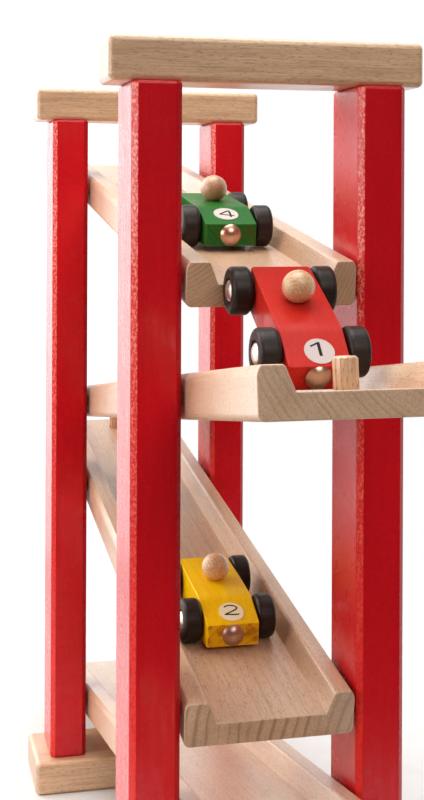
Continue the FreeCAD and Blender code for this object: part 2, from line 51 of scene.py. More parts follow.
# %% [markdown]
# ## Small helpers for shader nodes
#
# A shader is a graph. It could be wired by hand in the editor, but a script is easier to read
# and to repeat, so a few helpers do the typing. The first ones add a node, link it, and do sums
# with numbers and vectors.

# %% Helpers that add and link nodes
def add(tree, kind, inputs=None, **settings):
    """Add a node, set its properties, and set or link its inputs."""
    made = tree.nodes.new(kind)
    for name, value in settings.items():
        setattr(made, name, value)
    for name, value in (inputs or {}).items():
        plug(tree, made.inputs[name], value)
    return made


def plug(tree, socket, value):
    """Link a socket to an output, or write a plain value into it."""
    if isinstance(value, bpy.types.NodeSocket):
        tree.links.new(value, socket)
    else:
        socket.default_value = value


def calc(tree, operation, a, b=0.0, c=0.0, clamp=False):
    """One math node; gives back its output."""
    made = add(tree, "ShaderNodeMath", {0: a, 1: b, 2: c}, operation=operation)
    made.use_clamp = clamp
    return made.outputs[0]


def chain(tree, operation, *values):
    """The same sum over any number of values, one after another."""
    result = values[0]
    for value in values[1:]:
        result = calc(tree, operation, result, value)
    return result


def vector_calc(tree, operation, a, b=(0.0, 0.0, 0.0)):
    """One vector math node; gives back its number or its vector."""
    made = add(tree, "ShaderNodeVectorMath", {0: a, 1: b}, operation=operation)
    return made.outputs["Value" if operation in ("LENGTH", "DOT_PRODUCT") else "Vector"]


def split(tree, vector):
    """The three parts of a vector, by the names X, Y and Z."""
    return add(tree, "ShaderNodeSeparateXYZ", {0: vector}).outputs


print("helpers: nodes, links and sums")

# %% [markdown]
# Patterns need three more steps again and again: noise, a soft threshold that turns noise into
# spots, and a blend of two colours. A noise that is scaled differently along each axis is drawn
# out into fibres and flecks, which is what wood needs.

# %% Helpers for patterns and colours
def ramp_between(tree, value, low, high):
    """Smooth step from 0 at low to 1 at high."""
    made = add(
        tree, "ShaderNodeMapRange", {"Value": value, "From Min": low, "From Max": high},
        interpolation_type="SMOOTHSTEP",
    )
    return made.outputs["Result"]


def cloud(tree, vector, scale, detail=2.0, roughness=0.5):
    """Noise around 0.5; the scale is one number, or three for a drawn-out pattern."""
    if isinstance(scale, tuple):
        vector = vector_calc(tree, "MULTIPLY", vector, scale)
        scale = 1.0
    made = add(
        tree, "ShaderNodeTexNoise",
        {"Vector": vector, "Scale": scale, "Detail": detail, "Roughness": roughness},
    )
    return made.outputs["Fac"]


def blend_colours(tree, share, first, second):
    """Mix two colours by a share."""
    made = add(tree, "ShaderNodeMix", data_type="RGBA")
    plug(tree, made.inputs["Factor"], share)
    plug(tree, made.inputs[6], first)
    plug(tree, made.inputs[7], second)
    return made.outputs[2]


def toned(colour, factor):
    """A colour made darker or paler, kept within 1."""
    return tuple(min(1.0, channel * factor) for channel in colour[:3]) + (1.0,)


print("helpers: soft steps, noise and colours")

# %% [markdown]
# A pattern that several materials share is a node group: a small graph with named inputs that
# each material fills with its own values. A change to the group then reaches every material.

# %% Helpers for node groups
SOCKET_KINDS = {"number": "NodeSocketFloat", "vector": "NodeSocketVector", "colour": "NodeSocketColor"}


def new_group(title, inputs, outputs):
    """Node group with typed, named sockets; gives back the tree and its two end nodes."""
    tree = bpy.data.node_groups.new(title, "ShaderNodeTree")
    for name, kind, value in inputs:
        socket = tree.interface.new_socket(name=name, in_out="INPUT", socket_type=SOCKET_KINDS[kind])
        socket.default_value = value
    for name, kind in outputs:
        tree.interface.new_socket(name=name, in_out="OUTPUT", socket_type=SOCKET_KINDS[kind])
    return tree, tree.nodes.new("NodeGroupInput").outputs, tree.nodes.new("NodeGroupOutput").inputs


def place_group(tree, group, **inputs):
    """Put a group into a material and fill its inputs; gives back its outputs."""
    made = add(tree, "ShaderNodeGroup", node_tree=group)
    for name, value in inputs.items():
        plug(tree, made.inputs[name.replace("_", " ")], value)
    return made.outputs


print("helpers: node groups with", len(SOCKET_KINDS), "kinds of socket")

# %% [markdown]
# ## The camera
#
# The picture was taken in front of the low end of the top ramp, a little to the left of the
# tower. Upright lines stay upright in it, so the camera is level and the view is shifted down
# instead of being tilted.

# %% Camera at the picture's place
CAMERA_PLACE = (-0.1435, -0.6356, 0.3214)
CAMERA_TURN_DEG = 13.558
CAMERA_ROLL_DEG = 0.233
LENS_MM = 60.75
SENSOR_MM = 36.0
SHIFT_DOWN = 0.2425

camera_data = bpy.data.cameras.new("picture_camera")
camera_data.sensor_fit = "VERTICAL"
camera_data.sensor_height = SENSOR_MM
camera_data.lens = LENS_MM
camera_data.shift_x = 0.0
camera_data.shift_y = -SHIFT_DOWN
camera = bpy.data.objects.new("picture_camera", camera_data)
camera.location = CAMERA_PLACE
camera.rotation_mode = "XYZ"
camera.rotation_euler = [math.radians(turn) for turn in (90, -CAMERA_ROLL_DEG, -CAMERA_TURN_DEG)]
bpy.context.scene.collection.objects.link(camera)
bpy.context.scene.camera = camera
print("camera at", CAMERA_PLACE)

# %% [markdown]
# ## Where the grain runs
#
# Every piece was sawn from its own plank, so its grain has its own direction and its own rings.
# A texture could be unwrapped by hand for each piece. It is simpler to give each material a
# small frame of its own: a place, a turn that lays the grain along Y, and millimetres as unit.

# %% The frame of a piece of wood
MILLIMETRE = 0.001
ORIGIN = (0.0, 0.0, 0.0)
GRAIN_ALONG_X = (0.0, 0.0, math.radians(-90))
GRAIN_ALONG_Y = (0.0, 0.0, 0.0)
GRAIN_UPRIGHT = (math.radians(90), 0.0, 0.0)


def sloping(degrees, facing_far=False):
    """Turn that lays the grain along a ramp or a car on it."""
    return (math.radians(degrees), 0.0, math.pi if facing_far else 0.0)


def middle_of(node):
    """Middle of a node's box."""
    low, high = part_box(node)
    return tuple((low + high) / 2)


def piece_frame(tree, origin, turn):
    """Coordinates of the piece in millimetres, and the direction of its surface."""
    spot = add(tree, "ShaderNodeTexCoord").outputs
    laid = add(tree, "ShaderNodeMapping", {"Vector": spot["Object"]}, vector_type="TEXTURE")
    laid.inputs["Location"].default_value = origin
    laid.inputs["Rotation"].default_value = turn
    laid.inputs["Scale"].default_value = (MILLIMETRE,) * 3
    facing = add(tree, "ShaderNodeMapping", {"Vector": spot["Normal"]}, vector_type="TEXTURE")
    facing.inputs["Rotation"].default_value = turn
    return laid.outputs[0], facing.outputs[0]


print("middle of the top ramp:", [round(value, 3) for value in middle_of("ramp_1")])

# %% [markdown]
# ## Wood grain
#
# Beech is pale and even. What one sees is a slow change of tone, faint growth rings, long thin
# fibres, and many short dark flecks that all point along the board. The rings are distances
# from the middle of the trunk, which lies outside a board, so the same numbers give lines on
# the sides and arcs on the ends, as in real timber. They wander a little, and some years are
# stronger than others.

# %% Growth rings
RING_WANDER_MM = 7.0
SIDE_RING_SHARE = 0.25


def growth_rings(tree, given, end):
    """Darkness of the late wood of each year; full on the ends, faint on the sides."""
    place = given["Place"]
    wander = calc(tree, "MULTIPLY", cloud(tree, place, (0.03, 0.006, 0.03), 3.0), RING_WANDER_MM)
    from_trunk = vector_calc(tree, "SUBTRACT", place, given["Trunk Middle"])
    across = vector_calc(tree, "MULTIPLY", from_trunk, (1.0, 0.0, 1.0))
    reach = calc(tree, "ADD", vector_calc(tree, "LENGTH", across), wander)
    count = calc(tree, "DIVIDE", reach, given["Ring Width"])
    season = calc(tree, "FRACT", count)
    next_spring = calc(tree, "SUBTRACT", 1.0, ramp_between(tree, season, 0.88, 1.0))
    late_wood = calc(tree, "MULTIPLY", ramp_between(tree, season, given["Late Wood"], 0.92), next_spring)
    year = add(tree, "ShaderNodeCombineXYZ", {"X": count, "Y": calc(tree, "MULTIPLY", wander, 0.1)})
    good_years = ramp_between(tree, cloud(tree, year.outputs[0], 0.7, 3.0, 0.6), 0.30, 0.66)
    ring_share = calc(tree, "MULTIPLY_ADD", end, 1.0 - SIDE_RING_SHARE, SIDE_RING_SHARE)
    return chain(tree, "MULTIPLY", late_wood, good_years, given["Ring Depth"], ring_share)


print("rings wander by up to", RING_WANDER_MM, "mm")

# %% [markdown]
# On sawn ends the flecks turn into dots and the whole face is darker. The surface direction
# tells an end from a side, so one group serves both. It puts out the colour, the height of
# fibres and flecks, and the mask of the ends.

# %% The wood grain group
FIBRE_HEIGHT_MM = 0.012
FLECK_DEPTH_MM = 0.012
SAWN_HEIGHT_MM = 0.05


def make_wood_grain():
    """Colour and height of sawn wood; the grain runs along Y of the vector."""
    tree, given, result = new_group(
        "Wood grain",
        [
            ("Place", "vector", (0.0, 0.0, 0.0)),
            ("Facing", "vector", (0.0, 0.0, 1.0)),
            ("Trunk Middle", "vector", (-55.0, 0.0, -40.0)),
            ("Pale", "colour", (0.66, 0.42, 0.25, 1.0)),
            ("Deep", "colour", (0.46, 0.25, 0.13, 1.0)),
            ("Fleck", "colour", (0.26, 0.12, 0.06, 1.0)),
            ("Ring Width", "number", 2.0),
            ("Ring Depth", "number", 0.5),
            ("Late Wood", "number", 0.25),
            ("Fleck Depth", "number", 0.6),
            ("Figure Depth", "number", 1.0),
            ("End Darkness", "number", 0.5),
        ],
        [("Color", "colour"), ("Height", "number"), ("End", "number")],
    )
    place = given["Place"]
    along = calc(tree, "ABSOLUTE", split(tree, given["Facing"])["Y"])
    end = ramp_between(tree, along, 0.7, 0.95)
    side = calc(tree, "SUBTRACT", 1.0, end)

    # Slow drift of tone, long fibres, and short flecks or end pores.
    drift = cloud(tree, place, (0.09, 0.008, 0.09))
    fibre = cloud(tree, place, (1.5, 0.035, 1.5), 4.0, 0.65)
    fleck_noise = cloud(tree, place, (2.4, 0.36, 2.4), 2.0, 0.55)
    flecks = calc(tree, "MULTIPLY", ramp_between(tree, fleck_noise, 0.54, 0.68), side)
    pore_noise = cloud(tree, place, (3.6, 0.3, 3.6), 2.0, 0.6)
    pores = calc(tree, "MULTIPLY", ramp_between(tree, pore_noise, 0.52, 0.70), end)
    specks = calc(tree, "MULTIPLY", calc(tree, "ADD", flecks, pores), given["Fleck Depth"], clamp=True)

    figure = calc(tree, "MULTIPLY", calc(tree, "SUBTRACT", fibre, 0.44), 1.4)
    figure = calc(tree, "ADD", figure, calc(tree, "SUBTRACT", drift, 0.46))
    figure = calc(tree, "MULTIPLY", figure, given["Figure Depth"])
    tone = calc(tree, "ADD", growth_rings(tree, given, end), figure)
    tone = calc(tree, "ADD", tone, calc(tree, "MULTIPLY", end, given["End Darkness"]), clamp=True)
    wood = blend_colours(tree, tone, given["Pale"], given["Deep"])
    plug(tree, result["Color"], blend_colours(tree, specks, wood, given["Fleck"]))

    hollow = calc(tree, "MULTIPLY", specks, -FLECK_DEPTH_MM)
    relief = chain(tree, "MULTIPLY", side, FIBRE_HEIGHT_MM, fibre)
    sawn = chain(tree, "MULTIPLY", end, SAWN_HEIGHT_MM, pore_noise)
    plug(tree, result["Height"], chain(tree, "ADD", hollow, relief, sawn))
    plug(tree, result["End"], end)
    return tree


wood_grain = make_wood_grain()
print("group:", wood_grain.name)

# %% [markdown]
# ## Wear at the edges
#
# Hands and cars rub the edges of the boards. There the finish is thinner and paler. The edge
# can be found by comparing the real surface direction with one that is averaged over a small
# radius: where they differ, there is an edge. A little noise keeps the line from being even.

# %% The edge wear group
def make_edge_wear():
    """Mask that is 1 on worn edges."""
    tree, given, result = new_group(
        "Edge wear",
        [("Place", "vector", (0.0, 0.0, 0.0)), ("Radius", "number", 0.0012), ("Amount", "number", 0.5)],
        [("Mask", "number")],
    )
    rounded = add(tree, "ShaderNodeBevel", {"Radius": given["Radius"]}, samples=4).outputs[0]
    true_facing = add(tree, "ShaderNodeNewGeometry").outputs["Normal"]
    match = vector_calc(tree, "DOT_PRODUCT", rounded, true_facing)
    edge = ramp_between(tree, calc(tree, "SUBTRACT", 1.0, match), 0.01, 0.16)
    broken = ramp_between(tree, cloud(tree, given["Place"], 0.35, 4.0, 0.6), 0.30, 0.62)
    worn = calc(tree, "MULTIPLY", calc(tree, "MULTIPLY", edge, broken), given["Amount"], clamp=True)
    plug(tree, result["Mask"], worn)
    return tree


edge_wear = make_edge_wear()
print("group:", edge_wear.name)

# %% [markdown]
# ## Films that are not quite even
#
# No finish is equally smooth everywhere: lacquer flows into a faint orange peel, oil soaks in
# unevenly, and fingers leave duller spots. One group gives a roughness that drifts between two
# values and a height for the soft waves of the film.

# %% The uneven film group
def make_uneven_film():
    """Roughness that drifts between two values, and the height of soft waves."""
    tree, given, result = new_group(
        "Uneven film",
        [
            ("Place", "vector", (0.0, 0.0, 0.0)),
            ("Smooth", "number", 0.2),
            ("Rough", "number", 0.4),
            ("Wave Size", "number", 1.5),
            ("Wave Height", "number", 0.01),
        ],
        [("Roughness", "number"), ("Height", "number"), ("Patches", "number")],
    )
    patches = ramp_between(tree, cloud(tree, given["Place"], 0.07, 5.0, 0.6), 0.35, 0.68)
    spread = calc(tree, "SUBTRACT", given["Rough"], given["Smooth"])
    rough = calc(tree, "ADD", given["Smooth"], calc(tree, "MULTIPLY", patches, spread))
    frequency = calc(tree, "DIVIDE", 1.0, given["Wave Size"])
    waves = cloud(tree, given["Place"], frequency, 2.0, 0.45)
    plug(tree, result["Roughness"], rough)
    plug(tree, result["Height"], calc(tree, "MULTIPLY", waves, given["Wave Height"]))
    plug(tree, result["Patches"], patches)
    return tree


uneven_film = make_uneven_film()
print("group:", uneven_film.name)

# %% [markdown]
# ## Marks of the lathe
#
# The wheels are turned, so fine rings run about their axle. The distance from the axle, plus the
# way along it, drives a wave, and noise makes some rings deeper than others. The same wave gives
# circles on the faces and rings round the tread.

# %% The turned rings group
def make_turned_rings():
    """Fine rings about the X axis of the vector."""
    tree, given, result = new_group(
        "Turned rings",
        [("Place", "vector", (0.0, 0.0, 0.0)), ("Pitch", "number", 0.5), ("Depth", "number", 0.01)],
        [("Height", "number"), ("Mask", "number")],
    )
    from_axle = vector_calc(tree, "MULTIPLY", given["Place"], (0.0, 1.0, 1.0))
    reach = vector_calc(tree, "LENGTH", from_axle)
    length = split(tree, given["Place"])["X"]
    travel = calc(tree, "DIVIDE", calc(tree, "ADD", reach, length), given["Pitch"])
    line = add(tree, "ShaderNodeCombineXYZ", {"X": travel})
    uneven = cloud(tree, line.outputs[0], 0.8, 3.0, 0.6)
    groove = calc(tree, "MULTIPLY", calc(tree, "PINGPONG", travel, 0.5), uneven)
    plug(tree, result["Height"], calc(tree, "MULTIPLY", groove, given["Depth"]))
    plug(tree, result["Mask"], uneven)
    return tree


turned_rings = make_turned_rings()
print("group:", turned_rings.name)

# %% [markdown]
# ## A material and its shader
#
# All finishes end in one Principled shader. Values that are the same everywhere are written on
# the shader itself. Heights are in millimetres, so the bump node's distance is one millimetre.

# %% Start and finish a material
finished = []


def new_material(title, **values):
    """Material with a Principled shader; values are set on the shader's own sockets."""
    material = bpy.data.materials.new(title)
    material.use_nodes = True
    tree = material.node_tree
    shader = tree.nodes["Principled BSDF"]
    for name, value in values.items():
        shader.inputs[name.replace("_", " ")].default_value = value
    finished.append(title)
    return material, tree, shader


def finish_surface(tree, shader, colour, roughness, height=None, facing=None):
    """Feed a colour, a roughness and a height in millimetres to the shader."""
    plug(tree, shader.inputs["Base Color"], colour)
    plug(tree, shader.inputs["Roughness"], roughness)
    if height is None:
        return
    bump = add(tree, "ShaderNodeBump", {"Height": height, "Distance": MILLIMETRE, "Strength": 1.0})
    if facing is not None:
        plug(tree, bump.inputs["Normal"], facing)
    plug(tree, shader.inputs["Normal"], bump.outputs[0])


def dress(node, material):
    """Give a piece of the construction its material."""
    mesh = nodes[node].data
    mesh.materials.clear()
    mesh.materials.append(material)


print("heights are in units of", MILLIMETRE, "m")

# %% [markdown]
# ## Oiled beech
#
# The cross boards, ramps, pegs and balls are beech with a thin clear oil. The wood colour shows
# fully, with a soft shine that grows towards grazing angles. One function makes the material,
# and each piece passes the place and turn of its plank, so that no two boards look alike.

# %% The oiled beech material
PALE_BEECH = (0.680, 0.425, 0.250, 1.0)
DEEP_BEECH = (0.470, 0.250, 0.130, 1.0)
BEECH_FLECK = (0.330, 0.130, 0.055, 1.0)
WORN_BEECH_GAIN = 1.22
SAWN_ROUGHER = 0.15


def oiled_beech(title, origin, turn, trunk, pale=PALE_BEECH, deep=DEEP_BEECH, **figure):
    """Clear oil on beech; origin and turn lay the grain along the piece."""
    material, tree, shader = new_material(
        title, Specular_IOR_Level=0.5, IOR=1.5, Coat_Weight=1.0, Coat_Roughness=0.34,
    )
    place, facing = piece_frame(tree, origin, turn)
    grain = place_group(
        tree, wood_grain, Place=place, Facing=facing, Trunk_Middle=trunk, Pale=pale, Deep=deep,
        Fleck=BEECH_FLECK, **figure,
    )
    worn = place_group(tree, edge_wear, Place=place, Radius=0.0012, Amount=0.45)["Mask"]
    film = place_group(
        tree, uneven_film, Place=place, Smooth=0.36, Rough=0.52, Wave_Size=2.5, Wave_Height=0.006,
    )
    colour = blend_colours(tree, worn, grain["Color"], toned(pale, WORN_BEECH_GAIN))
    sawn = calc(tree, "MULTIPLY", grain["End"], SAWN_ROUGHER)
    roughness = calc(tree, "ADD", film["Roughness"], sawn)
    height = calc(tree, "ADD", grain["Height"], film["Height"])
    finish_surface(tree, shader, colour, roughness, height)
    return material


print("beech from", PALE_BEECH[:3], "to", DEEP_BEECH[:3])

# %% [markdown]
# The cross boards lie across the tower, so their grain runs along X. The trunk's middle is
# moved for each board, which changes the figure from fine lines to broader flames.

# %% Dress the cross boards
BOARD_TRUNKS = {
    "top_beam_near": (-70.0, 0.0, -46.0),
    "top_beam_far": (52.0, 0.0, -60.0),
    "foot_beam_near": (-38.0, 0.0, 66.0),
    "foot_beam_far": (64.0, 0.0, 30.0),
}
PALE_BOARD = (0.800, 0.510, 0.290, 1.0)
DEEP_BOARD = (0.500, 0.275, 0.145, 1.0)

for board, trunk in BOARD_TRUNKS.items():
    dress(board, oiled_beech(
        "beech_" + board, middle_of(board), GRAIN_ALONG_X, trunk, PALE_BOARD, DEEP_BOARD,
        Ring_Width=3.4, Ring_Depth=1.4, Late_Wood=0.25, Fleck_Depth=0.55, Figure_Depth=1.8,
        End_Darkness=0.42,
    ))
print("boards dressed:", len(BOARD_TRUNKS))

# %% [markdown]
# The ramps slope, the first and third towards the near end, the second and fourth towards the
# far end. The turn of each material follows the slope, so the flecks lie along the floor of
# the channel. The sawn ends show the rings, and each ramp has its own: fainter on the second,
# wide and dark on the third.

# %% Dress the ramps
RAMP_SLOPE_DEG = 8.4
LAST_SLOPE_DEG = 9.4
PALE_RAMP = (0.710, 0.465, 0.290, 1.0)
DEEP_RAMP = (0.500, 0.275, 0.150, 1.0)
DARK_RAMP = (0.350, 0.210, 0.130, 1.0)
RAMPS = {
    "ramp_1": {
        "turn": sloping(RAMP_SLOPE_DEG), "trunk": (-52.0, 0.0, 40.0), "deep": DEEP_RAMP,
        "Ring_Width": 1.7, "Ring_Depth": 1.0, "Late_Wood": 0.20, "End_Darkness": 0.5,
    },
    "ramp_2": {
        "turn": sloping(RAMP_SLOPE_DEG, facing_far=True), "trunk": (-48.0, 0.0, 44.0), "deep": DEEP_RAMP,
        "Ring_Width": 2.0, "Ring_Depth": 0.7, "Late_Wood": 0.20, "End_Darkness": 0.15,
    },
    "ramp_3": {
        "turn": sloping(RAMP_SLOPE_DEG), "trunk": (110.0, 0.0, -22.0), "deep": DARK_RAMP,
        "Ring_Width": 4.4, "Ring_Depth": 1.1, "Late_Wood": 0.50, "End_Darkness": 0.35,
    },
    "ramp_4": {
        "turn": sloping(LAST_SLOPE_DEG, facing_far=True), "trunk": (-80.0, 0.0, -12.0), "deep": DEEP_RAMP,
        "Ring_Width": 2.4, "Ring_Depth": 1.0, "Late_Wood": 0.30, "End_Darkness": 0.5,
    },
}

for ramp, plank in RAMPS.items():
    dress(ramp, oiled_beech(
        "beech_" + ramp, middle_of(ramp), pale=PALE_RAMP, Fleck_Depth=0.65, Figure_Depth=1.0, **plank,
    ))
print("ramps dressed:", len(RAMPS))

# %% [markdown]
# The pegs stand square on their ramps and are cut from a round rod, so their grain runs along
# the pin and their rings are narrow. The dowels inside the joints are the same rod. They are
# hidden, so one material serves them all.

# %% Dress the pegs and the dowels
PEG_TURNS = {
    "ramp_peg_2": 90 - RAMP_SLOPE_DEG,
    "ramp_peg_3": 90 + RAMP_SLOPE_DEG,
    "ramp_peg_4": 90 - LAST_SLOPE_DEG,
}
HIDDEN_DOWELS = ["frame_dowels"] + [f"ramp_dowels_{index + 1}" for index in range(len(RAMPS))]


def dowel_beech(title, origin, upright_deg):
    """Beech of the pegs and dowels, with its grain along the pin."""
    return oiled_beech(
        title, origin, (math.radians(upright_deg), 0.0, 0.0), (-9.0, 0.0, -14.0), Ring_Width=1.1,
        Ring_Depth=1.1, Late_Wood=0.25, Fleck_Depth=0.9, Figure_Depth=1.0, End_Darkness=0.4,
    )


for peg, upright_deg in PEG_TURNS.items():
    dress(peg, dowel_beech("beech_" + peg, middle_of(peg), upright_deg))
hidden_beech = dowel_beech("beech_dowels", ORIGIN, 90)
for dowels in HIDDEN_DOWELS:
    dress(dowels, hidden_beech)
print("pegs dressed:", len(PEG_TURNS), "and groups of dowels:", len(HIDDEN_DOWELS))

# %% [markdown]
# ## Red lacquer
#
# The posts are sprayed deep red. The film is thick enough to hide the colour of the wood, but
# the fibres still show through as faint upright lines. Seen from the front it must stay a deep
# red, and at a grazing angle it turns pale. A low specular level with a thin clear coat does
# both.
#
# The planed corners on the left face the lamps. There the film gets a grainy bump and a rougher shine,
# and its colour is painted paler, with pale glints that fade towards the foot: painted highlight. Along
# the rims, on the right-hand corners and at the rims at the ends the coat is dull and the colour is
# painted deep: painted shade. The direction of the surface tells these places apart, so no mask has to be
# painted.

# %% Where the lacquer is sanded and where it is dull
def slanted_corner(tree, sideways, frontal):
    """Mask of the faces that turn half to one side and half to the front or the back."""
    slant = calc(tree, "MINIMUM", sideways, calc(tree, "ABSOLUTE", frontal))
    return ramp_between(tree, slant, 0.40, 0.62)


def dull_shaded_rims(tree, slants, rounded):
    """Mask of painted shade and a duller coat: the rims of the corners, the corners on the right and the
    rims at the ends.
    """
    frontward = calc(tree, "ABSOLUTE", split(tree, rounded)["Y"])
    rim_starts = ramp_between(tree, frontward, 0.08, 0.25)
    rim_stops = ramp_between(tree, frontward, 0.45, 0.62)
    rim = calc(tree, "SUBTRACT", rim_starts, rim_stops, clamp=True)
    right_corner = slanted_corner(tree, slants["X"], slants["Z"])
    end_rim = ramp_between(tree, calc(tree, "ABSOLUTE", slants["Y"]), 0.30, 0.60)
    return chain(tree, "MAXIMUM", rim, right_corner, end_rim)


print("masks: planed corners and dull rims")

# %% [markdown]
# The colour is built up in layers: the film, edges rubbed on the left (wear kept to the lit side, so
# partly painted highlight), specks of dust, paler grainy spots on the lit corners and pale glints on
# these, both painted highlight. The painted shade of the rims comes last. The fibres under the film also
# break up its shine into upright streaks.

# %% The red lacquer material
LACQUER_RED = (0.650, 0.0055, 0.0110, 1.0)
# The deep red below is the dark tone of the film and also the painted shade on the rims. The edge colour
# serves rubbed edges, dust and the painted highlight of the lit corners. The glint colour is a painted
# highlight.
LACQUER_DEEP_AND_SHADE = (0.500, 0.0035, 0.0090, 1.0)
LACQUER_WORN_AND_LIT = (0.820, 0.0300, 0.0220, 1.0)
LACQUER_PAINTED_GLINT = (0.950, 0.3600, 0.2700, 1.0)
# Heights between which the painted glints grow towards the top of the posts.
GLINTS_FROM_MM = 110.0
GLINTS_FULL_MM = 340.0
RIM_RADIUS = 0.0009
LEAST_COAT = 0.08
COAT_SPREAD = 0.34
STREAK_HEIGHT_MM = 0.02
FIBRE_GAIN = 3.0
GRIT_HEIGHT_MM = 0.16
CORNER_ROUGHER = 0.06


def lacquer_colour(tree, place, film_red, lit_left_corner, grit, leftward):
    """The film with its rubbed edges and dust, and the painted highlight of the lit corners: paler spots
    and glints.
    """
    worn = place_group(tree, edge_wear, Place=place, Radius=0.0014, Amount=0.55)["Mask"]
    # Edge wear kept to the faces that turn left, where the light falls: wear with painted highlight.
    rubbed = calc(tree, "MULTIPLY", worn, ramp_between(tree, leftward, 0.1, 0.4))
    specks = cloud(tree, place, 2.3, 2.0, 0.6)
    dust = calc(tree, "MULTIPLY", ramp_between(tree, specks, 0.66, 0.76), 0.5)
    # Painted highlight: grainy paler spots on the lit left corners.
    thin = calc(tree, "MULTIPLY", lit_left_corner, ramp_between(tree, grit, 0.30, 0.55))
    pale = chain(tree, "MAXIMUM", rubbed, dust, thin)
    # Painted highlight: pale glints on the lit left corners, growing towards the top of the posts.
    glints_higher_up = ramp_between(tree, split(tree, place)["Y"], GLINTS_FROM_MM, GLINTS_FULL_MM)
    painted_glints = chain(tree, "MULTIPLY", lit_left_corner, glints_higher_up, ramp_between(tree, grit, 0.46, 0.64))
    red = blend_colours(tree, pale, film_red, LACQUER_WORN_AND_LIT)
    return blend_colours(tree, painted_glints, red, LACQUER_PAINTED_GLINT)


def red_lacquer():
    """Sprayed red film over hardwood posts."""
    material, tree, shader = new_material(
        "red_lacquer", Specular_IOR_Level=0.2, IOR=1.5, Coat_Roughness=0.14, Coat_IOR=1.5,
    )
    place, facing = piece_frame(tree, ORIGIN, GRAIN_UPRIGHT)
    grain = place_group(
        tree, wood_grain, Place=place, Facing=facing, Pale=LACQUER_RED, Deep=LACQUER_DEEP_AND_SHADE,
        Fleck=LACQUER_DEEP_AND_SHADE, Ring_Width=3.0, Ring_Depth=0.5, Fleck_Depth=0.3, End_Darkness=0.1,
    )
    film = place_group(
        tree, uneven_film, Place=place, Smooth=0.26, Rough=0.29, Wave_Size=0.80, Wave_Height=0.045,
    )
    slants = split(tree, facing)
    leftward = calc(tree, "MULTIPLY", slants["X"], -1.0)
    # The left corners face the lamps. Their mask carries painted highlight, a grainy bump and a rougher
    # shine.
    lit_left_corner = slanted_corner(tree, leftward, slants["Z"])
    grit = cloud(tree, place, (1.1, 0.8, 1.1), 4.0, 0.65)
    red = lacquer_colour(tree, place, grain["Color"], lit_left_corner, grit, leftward)
    rounded = add(tree, "ShaderNodeBevel", {"Radius": RIM_RADIUS}, samples=8).outputs[0]
    # Painted shade on the rims, the right corners and the rims at the ends; the coat is duller there as
    # well.
    dull = dull_shaded_rims(tree, slants, rounded)

    streaks = cloud(tree, place, (0.75, 0.04, 0.75), 3.0, 0.6)
    peel = cloud(tree, place, 0.8, 2.0, 0.6)
    lively = ramp_between(tree, calc(tree, "ADD", streaks, peel), 0.80, 1.20)
    shine = calc(tree, "MULTIPLY_ADD", lively, COAT_SPREAD, LEAST_COAT)
    coat = calc(tree, "MULTIPLY", shine, calc(tree, "SUBTRACT", 1.0, dull))
    plug(tree, shader.inputs["Coat Weight"], coat)

    fibres = calc(tree, "ADD", grain["Height"], calc(tree, "MULTIPLY", streaks, STREAK_HEIGHT_MM))
    fibres = calc(tree, "MULTIPLY", fibres, FIBRE_GAIN)
    gritty = chain(tree, "MULTIPLY", grit, lit_left_corner, GRIT_HEIGHT_MM)
    height = chain(tree, "ADD", fibres, film["Height"], gritty)
    roughness = calc(tree, "ADD", film["Roughness"], calc(tree, "MULTIPLY", lit_left_corner, CORNER_ROUGHER))
    # The painted shade goes over the colour last.
    colour = blend_colours(tree, dull, red, LACQUER_DEEP_AND_SHADE)
    finish_surface(tree, shader, colour, roughness, height, rounded)
    return material


POSTS = [f"post_{end}_{side}" for end in ("near", "far") for side in ("left", "right")]
lacquer = red_lacquer()
for post in POSTS:
    dress(post, lacquer)
print("posts dressed:", len(POSTS))

# %% [markdown]
# ## Stained car bodies
#
# The cars are dipped in a thin stain, so the grain shows through the colour. On the sawn nose
# and tail the wood drinks more stain and turns patchy and darker. The edges are rubbed paler.

# %% The stained body material
SOAKED_SHARE = 0.85
RUBBED_TOWARDS_WHITE = 0.22


def stained_body(title, origin, turn, trunk, pale, deep, patch):
    """Coloured stain through which the grain shows."""
    material, tree, shader = new_material(title, Specular_IOR_Level=0.13, IOR=1.46)
    place, facing = piece_frame(tree, origin, turn)
    grain = place_group(
        tree, wood_grain, Place=place, Facing=facing, Trunk_Middle=trunk, Pale=pale, Deep=deep,
        Fleck=deep, Ring_Width=2.2, Ring_Depth=0.80, Fleck_Depth=0.5, End_Darkness=0.25,
    )
    film = place_group(
        tree, uneven_film, Place=place, Smooth=0.28, Rough=0.42, Wave_Size=1.6, Wave_Height=0.006,
    )
    soaked = ramp_between(tree, cloud(tree, place, 0.28, 3.0, 0.6), 0.46, 0.66)
    soaked = calc(tree, "MULTIPLY", soaked, calc(tree, "MULTIPLY", grain["End"], SOAKED_SHARE))
    stain = blend_colours(tree, soaked, grain["Color"], patch)
    worn = place_group(tree, edge_wear, Place=place, Radius=0.0007, Amount=0.6)["Mask"]
    rubbed = tuple(channel + (1.0 - channel) * RUBBED_TOWARDS_WHITE for channel in pale[:3]) + (1.0,)
    colour = blend_colours(tree, worn, stain, rubbed)
    height = calc(tree, "ADD", grain["Height"], film["Height"])
    finish_surface(tree, shader, colour, film["Roughness"], height)
    return material


print("darker stain on sawn ends, up to", SOAKED_SHARE)

# %% [markdown]
# Each car was cut from its own block, so each has its own trunk. The grain lies along the car
# as it stands in the picture: two follow their ramps, and the red one is tipping over the end
# of its ramp.

